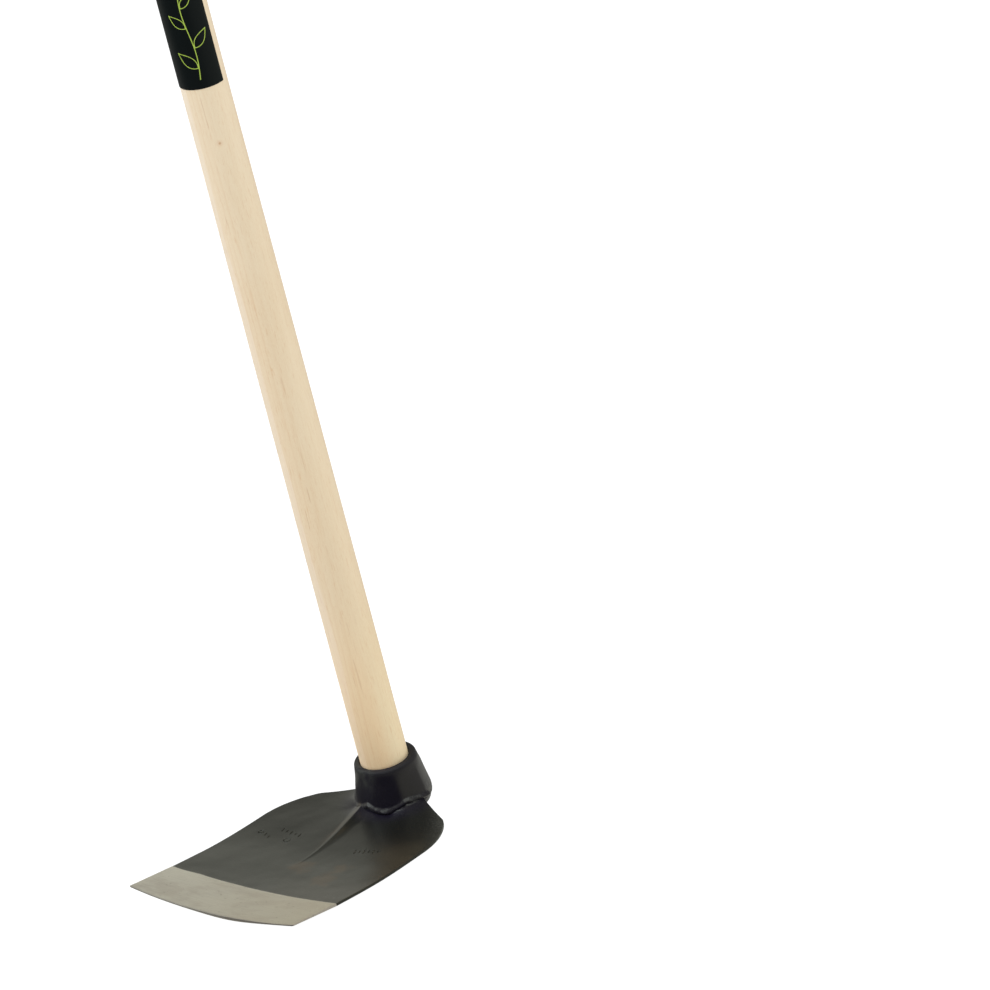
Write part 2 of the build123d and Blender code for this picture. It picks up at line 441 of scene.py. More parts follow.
def blade_outline(step):
    """Outline from the rear corner at -X round the blade to the one at +X, as (x, reach)."""
    left = half_outline(CORNER_ROUND_LEFT, 6, TIP_ROUND_LEFT)
    right = half_outline(CORNER_ROUND_RIGHT, 3, TIP_ROUND_RIGHT)
    return evenly(np.vstack([left * (-1, 1), right[::-1][1:]]), step)


def slab_plan():
    """The blade seen from above: rows from the eye's wall out to the outline, closer near both."""
    outline = blade_outline(SLAB_STEP)
    angle = np.arctan2(outline[:, 0], outline[:, 1])
    angle *= math.radians(SLAB_REAR_DEG) / angle[-1]
    inner = SLAB_INNER_R * np.stack([np.sin(angle), np.cos(angle)], -1)
    t = np.linspace(0, 1, SLAB_ROWS)
    t = t + SLAB_CROWDING * np.sin(2 * math.pi * t) / (2 * math.pi)
    return inner[None] + (outline - inner)[None] * t[:, None, None]


def build_slab():
    """The blade as a closed slab, which runs into the eye's wall."""
    plan = slab_plan()
    rows, columns = plan.shape[:2]
    x, reach = plan[..., 0].ravel(), plan[..., 1].ravel()
    flat = np.stack([x, -reach, 0 * x], -1)
    top = blade_top(x, reach) + (waves(flat, 26, 0.22) + waves(flat, 9, 0.06, 5.3))
    under = np.maximum(plate_top(x, reach) - blade_thickness(x, reach), EYE_LOW + 0.4)
    points = np.vstack([np.stack([x, -reach, z], -1) for z in (top, under)])
    faces, border = shell_faces(rows, columns)
    slots = [FINISH_SLOT] * (len(faces) - len(border))
    for a, _ in border:
        bare = reach[a] > ground_boundary(x[a]) - 0.5
        slots.append(EDGE_SLOT if bare else FINISH_SLOT)
    slab = new_object("hoe_head", points, faces, slots)
    outward(slab)
    soften(slab, 0.32)
    return slab


def bead_swell(points, degrees):
    """The bead over the blade's root: lumpy, thickest in front, gone towards the back."""
    height = points[:, 2]
    middle = bead_height(degrees)
    off = (height - middle) / np.where(height > middle, BEAD_ABOVE, BEAD_BELOW)
    swell = 1.7 - 0.7 * smoothstep(30, 42, degrees) + 0.6 * smoothstep(50, 62, degrees)
    swell = swell * (1.05 + waves(points, 5, 0.5, 3.3)) + waves(points, 2.4, 0.3, 6.2)
    return swell * np.clip(1 - off**2, 0, 1) ** 2 * (1 - smoothstep(100, 140, degrees))


def hammered(points):
    """The eye's wall as forged: eight soft flats, a slight unevenness, a lean and the bead."""
    radius = np.hypot(points[:, 0], points[:, 1])
    height = points[:, 2]
    outer = smoothstep(19.5, 23, radius)
    wall = smoothstep(-2, -12, height) * smoothstep(-36, -30, height)
    turn = np.arctan2(points[:, 0], -points[:, 1])
    facing = np.degrees(turn)
    degrees = np.abs(facing)
    crisp = 0.45 - 0.37 * smoothstep(70, 88, degrees)
    struck = smoothstep(35, 55, facing) * (1 - smoothstep(150, 170, facing)) * wall
    depth = FLAT_DEPTH + FLAT_DEPTH_STRUCK * struck
    ridged = np.hypot(np.sin(FLAT_COUNT / 2 * turn - FLAT_TURN), crisp)
    flats = depth * radius * wall * ridged - 0.55 * struck
    dents = 0.12 + waves(points, 14, 0.12, 2.1)
    lean = 0.9 * smoothstep(-24, -2, height) * smoothstep(0.2, 1, np.cos(turn + 0.75))
    return pushed_out(points, outer * (bead_swell(points, degrees) - flats - dents - lean), 1)


def build_collar():
    """The eye: a flaring ring with a rounded rim, a rolled foot and a tapered bore."""
    corners = [
        (BORE_LOW_R, EYE_LOW),
        (BORE_TOP_R, 0),
        (RIM_R, 0),
        (BULGE_R + 0.25, BULGE_Z),
        (FOOT_R, EYE_LOW),
        (BORE_LOW_R, EYE_LOW),
    ]
    profile = evenly(rounded(corners, [0, 1.0, 2.2, 4.2, 0.6, 0]), 0.5)[:-1]
    collar = lathe("collar", profile, 240, hammered, closed=True)
    outward(collar)
    return collar


def on_blade(x, reach):
    """Moves a punch to a place on the blade, with its axis just above the face."""
    height = float(blade_top(x, reach)) + PUNCH_LIFT
    return Matrix.Translation(Vector((x, -reach, height)) * MM)


def punched_bar(x, reach, length, turn):
    """A rounded bar, half sunk in the blade, that cuts one stroke of a stamped mark."""
    half = length / 2
    corners = [(0.05, -half), (PUNCH_R, -half), (PUNCH_R, half), (0.05, half)]
    bar = lathe("bar", rounded(corners, [0, 0.4, 0.4, 0]), 10, slot=STAMP_SLOT)
    outward(bar)
    lie = Euler((math.pi / 2, 0, math.radians(turn))).to_matrix().to_4x4()
    bar.data.transform(on_blade(x, reach) @ lie)
    return bar


def punched_ring(x, reach, radius):
    """A ring, half sunk in the blade, that cuts a round mark."""
    turn = np.arange(12) / 12 * 2 * math.pi
    profile = np.stack([radius + PUNCH_R * np.cos(turn), PUNCH_R * np.sin(turn)], -1)
    ring = lathe("ring", profile, 28, closed=True, slot=STAMP_SLOT)
    outward(ring)
    ring.data.transform(on_blade(x, reach))
    return ring


def stamp_marks():
    """Plain marks struck in the black finish: slanted strokes and rings, no lettering."""
    marks = [punched_ring(-33, 83.7, 2.6), punched_ring(-61, 81, 2.0)]
    for count, x, reach, step_x, step_reach, length, shorter, turn in STROKE_ROWS:
        for k in range(count):
            place = x + step_x * k, reach + step_reach * k
            marks.append(punched_bar(*place, length - shorter * (k % 2), turn))
    return marks


head = build_slab()
boolean(head, build_collar(), "UNION")
boolean(head, join(stamp_marks()), "DIFFERENCE")
smooth(head, 38)


# ---- handle

def weathered(points):
    """The turned stick above the eye, with long shallow hollows."""
    free = smoothstep(2, 60, points[:, 2])
    narrow = waves(points * (1, 1, 0.05), 16, 0.14, 1.7)
    broad = waves(points * (1, 1, 0.4), 60, 0.1, 8.1)
    return pushed_out(points, -free * np.maximum(0.07 + narrow + broad, 0), 4)


def build_handle():
    """The stick from its tenon to its domed top."""
    corners = [
        (TENON_R, HANDLE_LOW),
        (NECK_R, 0),
        (NECK_R, NECK_TOP),
        (WAIST_R, WAIST_LOW),
        (WAIST_R, WAIST_TOP),
        (GRIP_R, GRIP_LOW),
        (GRIP_R, HANDLE_TOP - DOME_HEIGHT - 1),
    ]
    stick = evenly(np.array(corners, float), 4.0)
    dome_r = (GRIP_R**2 + DOME_HEIGHT**2) / (2 * DOME_HEIGHT)
    start = math.asin(GRIP_R / dome_r)
    angles = [start * (1 - k / DOME_STEPS) for k in range(math.ceil(DOME_STEPS))]
    dome = [(dome_r * math.sin(a), HANDLE_TOP - dome_r * (1 - math.cos(a))) for a in angles]
    return lathe("handle", np.vstack([stick, dome]), 120, weathered)


def build_wedge(name, length, half_t, tip_half_t, width, centre_y, along_x, slack=0.0):
    """A driven wedge, flush with the handle's end, or with slack the cutter for its slot."""
    points, faces = [], []
    for i in range(WEDGE_ROWS):
        share = i / (WEDGE_ROWS - 1)
        overrun = 1.0 if slack and i == 0 else 0.0
        z = HANDLE_LOW + (length + slack) * share - overrun
        t = between(half_t, tip_half_t, share) + slack
        for side in (1, -1):
            for j in range(WEDGE_COLUMNS):
                w = (width + 2 * slack) * (j / (WEDGE_COLUMNS - 1) - 0.5) * side
                points.append((w, side * t, z) if along_x else (-side * t, w, z))
    points = np.array(points)
    points[:, 1] += centre_y
    around = 2 * WEDGE_COLUMNS
    faces = grid_faces(WEDGE_ROWS, around, wrap=True)
    for i in (0, WEDGE_ROWS - 1):
        for j in range(WEDGE_COLUMNS - 1):
            a, b = i * around + j, i * around + around - 1 - j
            faces.append([a, a + 1, b - 1, b])
    return new_object(name, points, faces)


handle = build_handle()
outward(handle)
for sizes in (WOOD_WEDGE, STEEL_WEDGE):
    slot_cutter = build_wedge("slot", *sizes, slack=SLOT_SLACK)
    outward(slot_cutter)
    boolean(handle, slot_cutter, "DIFFERENCE")
wood_wedge = build_wedge("wood_wedge", *WOOD_WEDGE)
steel_wedge = build_wedge("steel_wedge", *STEEL_WEDGE)
for piece in (handle, wood_wedge, steel_wedge):
    outward(piece)
    smooth(piece, 35)


# ---- label

def wrapped(u, v, height):
    """A point u degrees round from the blade's side, v up the handle and height over the wood."""
    a = np.radians(u)
    r = WAIST_R + height
    return np.stack([r * np.sin(a), -r * np.cos(a), v + 0 * a], -1)


def build_film():
    """The label's film, as a closed shell."""
    across = np.linspace(*LABEL_DEG, FILM_COLUMNS)
    u, v = np.meshgrid(across, np.linspace(FILM_LOW, LABEL_TOP, FILM_ROWS))
    points = np.vstack([wrapped(u, v, height).reshape(-1, 3) for height in (FILM_T, FILM_GAP)])
    film = new_object("label_film", points, shell_faces(FILM_ROWS, FILM_COLUMNS)[0])
    outward(film)
    return film


def unit(vectors):
    return vectors / np.linalg.norm(vectors, axis=1)[:, None]


def ribbon(path, width, closed=False):
    """A flat printed line along a path of (across, up) in millimetres, as points and faces."""
    path = np.array(path, float)
    ahead = np.roll(path, -1, 0) - path
    behind = path - np.roll(path, 1, 0)
    if not closed:
        ahead[-1], behind[0] = behind[-1], ahead[0]
    ahead, behind = unit(ahead), unit(behind)
    along = unit(ahead + behind)
    side = np.stack([-along[:, 1], along[:, 0]], -1) * width / 2
    side /= np.maximum(np.sum(along * ahead, 1), 0.5)[:, None]
    return on_film(np.stack([path - side, path + side], 1), closed)


def on_film(pairs, closed=False):
    """A thin closed shell from pairs of points on the label's flat, wrapped round the handle."""
    n = len(pairs)
    flat = pairs.reshape(-1, 2)
    u = PRINT_MIDDLE_DEG + np.degrees(flat[:, 0] / WAIST_R)
    points = np.vstack([wrapped(u, flat[:, 1], h) for h in (FILM_T - PRINT_SUNK, FILM_T + PRINT_T)])
    loop = [(0, 1), (1, 1 + 2 * n), (1 + 2 * n, 2 * n), (2 * n, 0)]
    faces = []
    for k in range(n if closed else n - 1):
        a, b = 2 * k, 2 * ((k + 1) % n)
        faces += [[a + p, a + q, b + q, b + p] for p, q in loop]
    if not closed:
        faces += [[0, 1, 1 + 2 * n, 2 * n], [2 * n - 2, 2 * n - 1, 4 * n - 1, 4 * n - 2]]
    return points, faces


def block(across, up, width, height):
    """A printed rectangle, centred at a place on the label, that follows the handle's curve."""
    x = np.linspace(across - width / 2, across + width / 2, math.ceil(width / 0.4) + 1)
    low, high = (np.stack([x, 0 * x + up + side * height / 2], -1) for side in (-1, 1))
    return on_film(np.stack([low, high], 1))


def print_layer(name, shapes, lift=0.0):
    """One ink's shapes as one piece, which stands a little prouder with lift."""
    points, faces, start = [], [], 0
    for shape_points, shape_faces in shapes:
        points.append(shape_points)
        faces += [[v + start for v in f] for f in shape_faces]
        start += len(shape_points)
    points = np.vstack(points)
    points[:, :2] *= 1 + lift / WAIST_R
    layer = new_object(name, points, faces)
    outward(layer)
    return layer


def leaf(across, up, length, width, lean):
    """A pointed leaf in outline, which grows from a place on the label and leans by an angle."""
    t = np.linspace(0, 1, 15)
    half = width / 2 * np.sin(math.pi * t**0.8)
    right, left = (np.stack([side * half, t * length], -1) for side in (1, -1))
    outline = np.vstack([right, left[-2:0:-1]])
    c, s = math.cos(lean), math.sin(lean)
    turned = np.stack([outline[:, 0] * c + outline[:, 1] * s, outline[:, 1] * c - outline[:, 0] * s], -1)
    return ribbon(turned + (across, up), LEAF_LINE, closed=True)


def sprig():
    """A thin-line stem with leaves at both sides."""
    t = np.linspace(0, 1, 40)
    stem_x = 1.6 * np.sin(2.4 * math.pi * t)
    stem_y = LABEL_LOW + 9 + 84 * t
    shapes = [ribbon(np.stack([stem_x, stem_y], -1), STEM_LINE)]
    for k in range(5):
        i = 4 + 7 * k
        side = 1 if k % 2 else -1
        size = 1 - 0.08 * k
        shapes.append(leaf(stem_x[i] + 0.6 * side, stem_y[i], 17 * size, 7.2 * size, side * 0.75))
    shapes.append(leaf(stem_x[-1], stem_y[-1] + 0.6, 14, 6.2, 0.1))
    return shapes


def furrows():
    """White furrow lines and a row of seeds."""
    t = np.linspace(0, 1, 30)
    shapes = []
    for k in range(3):
        across = 8 * (k - 1) + 1.2 * np.sin(2 * math.pi * t + k)
        shapes.append(ribbon(np.stack([across, LABEL_LOW + 116 + 34 * t], -1), FURROW_LINE))
    for k in range(5):
        shapes.append(block(5 * (k - 2), LABEL_LOW + 110, SEED, SEED))
    return shapes


def woven_blocks():
    """Dark blocks in a plain woven pattern on the white square."""
    shapes = []
    for row in range(-3, 4):
        for column in range(-3, 4):
            corner = abs(row) == 3 and abs(column) == 3
            if (row + column) % 2 == 0 or corner:
                size = CELL * (0.92 if (row * column) % 3 else 0.66)
                shapes.append(block(column * CELL, SQUARE_UP + row * CELL, size, size))
    return shapes


film = build_film()
lime_print = print_layer("label_print_lime", sprig())
white_print = print_layer("label_print_white", furrows() + [block(0, SQUARE_UP, SQUARE, SQUARE)])
dark_print = print_layer("label_print_dark", woven_blocks(), 0.01)
for piece in (film, lime_print, white_print, dark_print):
    smooth(piece, 30)


# ---- materials

class Nodes:
    """Short calls for building the nodes of a material or world. Places in it are in metres."""

    def __init__(self, owner):
        owner.use_nodes = True
        self.owner = owner
        self.tree = owner.node_tree
        self.shader = self.tree.nodes.get("Principled BSDF")
        self.where = self.node("ShaderNodeTexCoord").outputs["Object"]

    def link(self, source, target):
        """A number or colour is set on the socket, and another socket is linked to it."""
        if isinstance(source, (int, float, tuple)):
            target.default_value = source
        else:
            self.tree.links.new(source, target)

    def node(self, kind, inputs=None, **settings):
        made = self.tree.nodes.new(kind)
        for key, value in settings.items():
            setattr(made, key, value)
        for key, value in (inputs or {}).items():
            self.link(value, made.inputs[key])
        return made

    def math(self, operation, a, b=0.0, c=0.0, clamp=False):
        made = self.node("ShaderNodeMath", {0: a, 1: b, 2: c}, operation=operation, use_clamp=clamp)
        return made.outputs[0]

    def times(self, first, *others):
        """The product of all the values."""
        product = first
        for value in others:
            product = self.math("MULTIPLY", product, value)
        return product

    def more(self, share, amount, value):
        """The value, and share times the amount on top."""
        return self.math("MULTIPLY_ADD", share, amount, value)

    def length(self, a, b):
        return self.math("SQRT", self.more(a, a, self.times(b, b)))

    def vectors(self, operation, a, b):
        """A number from two vectors: their distance or dot product."""
        return self.node("ShaderNodeVectorMath", {0: a, 1: b}, operation=operation).outputs["Value"]

    def xyz(self, vector=None):
        return self.node("ShaderNodeSeparateXYZ", {0: vector or self.where}).outputs

    def scaled(self, scale, offset=(0, 0, 0)):
        """The place in the piece, scaled along each axis."""
        inputs = {"Vector": self.where, "Scale": scale, "Location": offset}
        return self.node("ShaderNodeMapping", inputs).outputs[0]

    def noise(self, scale, detail, rough=0.5, vector=None):
        inputs = {"Vector": vector or self.where, "Scale": scale, "Detail": detail, "Roughness": rough}
        return self.node("ShaderNodeTexNoise", inputs).outputs["Fac"]

    def grain(self, scale, detail, rough=0.5, offset=(0, 0, 0)):
        """Noise whose cells are scaled along each axis: a high number gives short cells."""
        return self.noise(1, detail, rough, self.scaled(scale, offset))

    def ramp(self, value, low, high, to_low=0.0, to_high=1.0, kind="SMOOTHSTEP"):
        inputs = {"Value": value, "From Min": low, "From Max": high, "To Min": to_low, "To Max": to_high}
        return self.node("ShaderNodeMapRange", inputs, interpolation_type=kind).outputs[0]

    def mix(self, share, a, b, blend="MIX"):
        made = self.node("ShaderNodeMix", data_type="RGBA", blend_type=blend)
        self.link(share, made.inputs["Factor"])
        for value, socket in ((a, made.inputs[6]), (b, made.inputs[7])):
            self.link(value + (1.0,) if isinstance(value, tuple) else value, socket)
        return made.outputs[2]

    def over(self, below, colour, mask, strength):
        """Lays a colour over another one where the mask is."""
        return self.mix(self.times(mask, strength), below, colour)

    def bump(self, height, distance, strength):
        made = self.node("ShaderNodeBump", {"Height": height, "Distance": distance, "Strength": strength})
        self.link(made.outputs[0], self.shader.inputs["Normal"])

    def set(self, base_color, roughness, metallic=0.0):
        if isinstance(base_color, tuple):
            base_color = base_color + (1.0,)
        self.link(base_color, self.shader.inputs["Base Color"])
        self.link(roughness, self.shader.inputs["Roughness"])
        self.link(metallic, self.shader.inputs["Metallic"])

    def set_constant(self, socket, value):
        self.shader.inputs[socket].default_value = value


def new_material(name):
    return Nodes(bpy.data.materials.new(name))


def srgb(r, g, b):
    """Linear colour from an sRGB one, 0 to 255."""
    return tuple(((c / 255 + 0.055) / 1.055) ** 2.4 if c > 10 else c / 255 / 12.92 for c in (r, g, b))


# Linear colours of the black finish and what lies on it
BLACK_DEEP, BLACK_GREY = (0.0062, 0.0064, 0.0060), (0.0088, 0.0088, 0.0076)
BLACK_EYE = (0.0080, 0.0066, 0.0125)
# On the line below, the first colour is a painted sheen for the blade's upward faces towards the ground
# strip.
# On the line below, the last colour is grey scuffing under the eye's rim, and partly a painted reflection
# there.
PLATE_SHEEN, RUST, SCUFF_AND_SHEEN = (0.034, 0.034, 0.028), (0.058, 0.040, 0.024), (0.034, 0.035, 0.032)
NICK, RUBBED = (0.16, 0.14, 0.12), (0.046, 0.035, 0.025)
FINISH_TINT = (1.0, 1.0, 0.78, 1.0)

# Round rust stains on the blade in metres: X, reach and radius
RUST_PATCHES = ((0.009, 0.113, 0.014), (0.039, 0.124, 0.016), (0.040, 0.106, 0.014))

# Bare steel, from the blade's left side to its right, and its marks
STEEL_LEFT, STEEL_RIGHT = srgb(245, 240, 233), srgb(214, 206, 198)
STEEL_STAIN, STEEL_BRUSHED, STEEL_SPOT = srgb(200, 187, 180), srgb(176, 168, 158), srgb(150, 134, 122)


def on_ground_strip(m, x, reach):
    """1 on the ground strip, whose boundary bows, holds back at the left and is slightly ragged."""
    bow = m.times(x, x, GROUND_BOW * MM / (HALF_WIDTH * MM) ** 2)
    boundary = m.math("SUBTRACT", (GROUND_REACH + GROUND_BOW) * MM, bow)
    hold = m.ramp(x, LEFT_HOLD_FROM * MM, LEFT_HOLD_TO * MM, 0.0, LEFT_HOLD * MM)
    boundary = m.math("ADD", boundary, hold)
    ragged = m.more(m.noise(900, 2), 0.0005, -0.00025)
    past = m.math("SUBTRACT", m.math("ADD", reach, ragged), boundary)
    return m.ramp(past, -0.0002, 0.0002)


def clean_black(m, x, y):
    """Baked black, a little uneven, and bluer on the eye."""
    cloud = m.grain((18, 18, 18), 4, 0.55)
    black = m.mix(m.ramp(cloud, 0.35, 0.7), BLACK_DEEP, BLACK_GREY)
    return m.mix(m.ramp(m.length(x, y), 0.046, 0.030), black, BLACK_EYE)


def rust_stains(m, x, reach):
    """A faint brown at the right towards the ground strip, and three stronger stains."""
    rust = m.times(m.ramp(reach, 0.105, 0.140, 0.0, 0.22), m.ramp(x, -0.01, 0.05))
    plan = m.scaled((1, 1, 0))
    wander = m.grain((90, 90, 90), 4, 0.6, offset=(3, 1, 0))
    for patch_x, patch_reach, patch_r in RUST_PATCHES:
        away = m.vectors("DISTANCE", plan, (patch_x, -patch_reach, 0))
        stain = m.ramp(m.more(wander, 0.026, away), patch_r + 0.010, patch_r + 0.002)
        rust = m.math("MAXIMUM", rust, stain)
    return rust


def rubbed_crest(m, x, reach, z):
    """A narrow band along the rib's crest, where the finish is rubbed brown."""
    crest = m.ramp(reach, 0.028, 0.082, -0.0092, -0.0010, "LINEAR")
    beside = m.math("SUBTRACT", x, crest)
    band = m.times(m.ramp(beside, -0.0050, -0.0012), m.ramp(beside, 0.0012, 0.0002))
    return m.times(band, m.ramp(reach, 0.098, 0.060), m.ramp(z, -0.024, -0.027))


def black_finish(m, x, y, z, reach):
    """The black finish with a painted sheen towards the ground strip, rust stains, scuffs with a painted
    reflection under the rim, nicks and rubbed crest.
    """
    facing = m.xyz(m.node("ShaderNodeTexCoord").outputs["Normal"])[2]
    upper = m.ramp(facing, 0.0, 0.4)
    black = clean_black(m, x, y)
    # Painted sheen: a lighter grey on upward faces, growing towards the ground strip and fading to the
    # right.
    plate_sheen = m.times(m.ramp(reach, 0.045, 0.115), m.ramp(x, 0.085, 0.030), upper)
    black = m.over(black, PLATE_SHEEN, plate_sheen, 0.85)
    black = m.over(black, RUST, m.times(rust_stains(m, x, reach), upper), 0.62)
    # Grey under the rim at the left: partly scuffing, partly a painted reflection of the light on the
    # rim's curve.
    scuff_and_sheen = m.ramp(m.grain((160, 160, 160), 3, 0.6, offset=(1, 6, 2)), 0.36, 0.60)
    near_rim = m.times(m.ramp(z, -0.0150, -0.0095), m.ramp(x, 0.012, -0.002))
    black = m.over(black, SCUFF_AND_SHEEN, m.times(near_rim, scuff_and_sheen), 0.8)
    nick = m.ramp(m.grain((420, 800, 420), 2, 0.6), 0.66, 0.70)
    near_side = m.times(m.ramp(reach, 0.132, 0.146), m.ramp(x, 0.050, 0.066))
    black = m.over(black, NICK, m.times(near_side, nick, upper), 0.8)
    return m.over(black, RUBBED, m.times(rubbed_crest(m, x, reach, z), upper), 0.55)


def bare_steel(m, x):
    """Ground steel: brushed across the blade, stained and spotted."""
    bare = m.mix(m.ramp(x, -0.070, 0.080, kind="LINEAR"), STEEL_LEFT, STEEL_RIGHT)
    stain = m.ramp(m.grain((34, 60, 34), 4, 0.6, offset=(7, 3, 1)), 0.42, 0.66)
    bare = m.over(bare, STEEL_STAIN, stain, 0.35)
    brushed = m.ramp(m.grain((60, 900, 60), 3, 0.6), 0.3, 0.8)
    bare = m.over(bare, STEEL_BRUSHED, brushed, 0.16)
    spot = m.ramp(m.grain((260, 330, 260), 3, 0.6, offset=(2, 5, 1)), 0.62, 0.72)
    return m.over(bare, STEEL_SPOT, spot, 0.28)


def black_and_ground():
    """The head: black finish, and bare ground steel past the boundary."""
    m = new_material("black_forging")
    x, y, z = m.xyz()
    reach = m.math("MULTIPLY", y, -1.0)
    ground = on_ground_strip(m, x, reach)
    rough = m.ramp(z, -0.005, -0.002, 0.30, 0.72)
    rough = m.ramp(ground, 0.0, 1.0, rough, 0.44, "LINEAR")
    fine = m.noise(1400, 3, 0.6)
    m.set(
        base_color=m.mix(ground, black_finish(m, x, y, z, reach), bare_steel(m, x)),
        metallic=ground,
        roughness=m.math("ADD", rough, m.more(fine, 0.06, -0.03)),
    )
    m.set_constant("Specular Tint", FINISH_TINT)
    root = m.times(m.ramp(x, 0.006, 0.016), m.ramp(reach, 0.050, 0.030), m.ramp(z, -0.021, -0.026))
    scale = m.times(root, m.noise(420, 3, 0.6))
    m.bump(m.more(scale, 5.0, m.noise(650, 4, 0.65)), 0.00012, 0.5)
    return m.owner


def stamp_floor():
    """Painted shade in the struck marks: a near-black, rough floor that makes them read as recesses."""
    m = new_material("stamp_floor")
    painted_shade = m.mix(m.noise(900, 3), (0.004, 0.004, 0.004), (0.010, 0.009, 0.008))
    m.set(base_color=painted_shade, roughness=0.75)
    return m.owner


def raw_edge():
    """The plate's cut edge in the ground strip: dark brown in the middle, partly scale and partly painted
    shade, and bare metal towards the corners, painted light at the left so the edge shows no shaded line.
    """
    m = new_material("raw_edge")
    patch = m.noise(260, 4, 0.6)
    x = m.xyz()[0]
    # Dark brown middle: partly scale, partly painted shade on the edge's face.
    scale = m.mix(m.ramp(patch, 0.45, 0.75), srgb(66, 38, 20), srgb(100, 70, 46))
    # Light ends: bare metal, and at the left painted light over the edge's shade.
    bright = m.math("ADD", m.ramp(x, -0.004, -0.022), m.ramp(x, 0.058, 0.070), clamp=True)
    bare = m.mix(m.ramp(x, 0.0, 0.060), srgb(196, 190, 180), srgb(150, 126, 114))
    m.set(base_color=m.mix(bright, scale, bare), roughness=0.7)
    m.bump(patch, 0.0002, 0.6)
    return m.owner


# Ash: the way across its grain, and places in metres
GRAIN_X, GRAIN_Y = math.cos(math.radians(47)), math.sin(math.radians(47))
HEART_X, HEART_Y = -0.075, 0.055
RINGS_PER_METRE, CAP_LINES_PER_METRE = 430.0, 780.0
KNOT = (0.01236, -0.01153, 0.505)
CHIP = (0.0160, -0.0037, 1.2508)
CAP_Z = HANDLE_TOP * MM - 0.0095

# Ash: colours of its marks, from the largest to the smallest
# The second colour on the line below is a painted sheen, not a mark of the wood.
CLOUD, EDGE_SHEEN, STREAK = srgb(238, 226, 200), srgb(238, 226, 212), srgb(186, 138, 92)
FLECK, PORE = srgb(212, 170, 122), srgb(206, 160, 110)
CAP, CAP_LINE, CAP_MOTTLE = srgb(214, 182, 144), srgb(184, 144, 108), srgb(196, 156, 122)
KNOT_RING, KNOT_PIN, CHIP_HOLE = srgb(204, 150, 100), srgb(170, 110, 62), srgb(104, 66, 42)

# Ash: tints that the whole colour is multiplied by, up the handle and near the eye. Near the eye they are
# a warmer stain; the extra warmth on the side towards -X and the blade is painted, for the warm light in
# that side's shade.
TONE_UP, TONE_DOWN = (1.0, 1.0, 1.0), (0.99, 0.965, 0.92)
TONE_EYE_LEFT_STAIN_AND_SHADE, TONE_EYE_RIGHT = (1.14, 1.02, 0.86), (1.05, 1.05, 0.96)


def ring_distance(m, x, y):
    """Distance to the tree's heart, outside the handle, warped a little along it."""
    warp_x, warp_y = m.grain((14, 14, 1.6), 2), m.grain((10, 10, 2.1), 2, offset=(4, 2, 7))
    rx = m.more(warp_x, 0.010, m.math("SUBTRACT", x, HEART_X))
    ry = m.more(warp_y, 0.008, m.math("SUBTRACT", y, HEART_Y))
    return m.length(rx, ry)


def late_wood(m, ring, quartered):
    """The darker late part of each growth ring, strong in patches."""
    phase = m.math("FRACT", m.times(ring, RINGS_PER_METRE))
    late = m.math("SUBTRACT", m.ramp(phase, 0.55, 0.95), m.ramp(phase, 0.95, 1.0))
    return m.times(late, quartered, m.ramp(m.grain((60, 60, 9), 3), 0.30, 0.62))


def end_grain(m, colour, ring, mottle, z):
    """Rings cut across on the dome, from a slightly wavering height upwards."""
    wavering = m.more(m.grain((80, 80, 80), 3), 0.0024, z)
    cap = m.ramp(wavering, CAP_Z - 0.0003, CAP_Z + 0.0012)
    lines = m.math("FRACT", m.more(m.grain((90, 90, 90), 3), 1.2, m.times(ring, CAP_LINES_PER_METRE)))
    end = m.over(CAP, CAP_LINE, m.ramp(lines, 0.45, 0.95), 0.40)
    end = m.over(end, CAP_MOTTLE, m.ramp(mottle, 0.4, 0.7), 0.3)
    return m.over(colour, end, cap, 0.8)


def knot_and_chip(m, colour):
    """A pin knot below the label and a small hole in the dome."""
    to_chip = m.more(m.grain((1100, 1100, 700), 2), 0.0022, m.vectors("DISTANCE", m.where, CHIP))
    colour = m.over(colour, CHIP_HOLE, m.ramp(to_chip, 0.0024, 0.0017), 0.75)
    to_knot = m.vectors("DISTANCE", m.where, KNOT)
    colour = m.over(colour, KNOT_RING, m.ramp(to_knot, 0.0035, 0.0008), 0.22)
    return m.over(colour, KNOT_PIN, m.ramp(to_knot, 0.0012, 0.0005), 0.45)


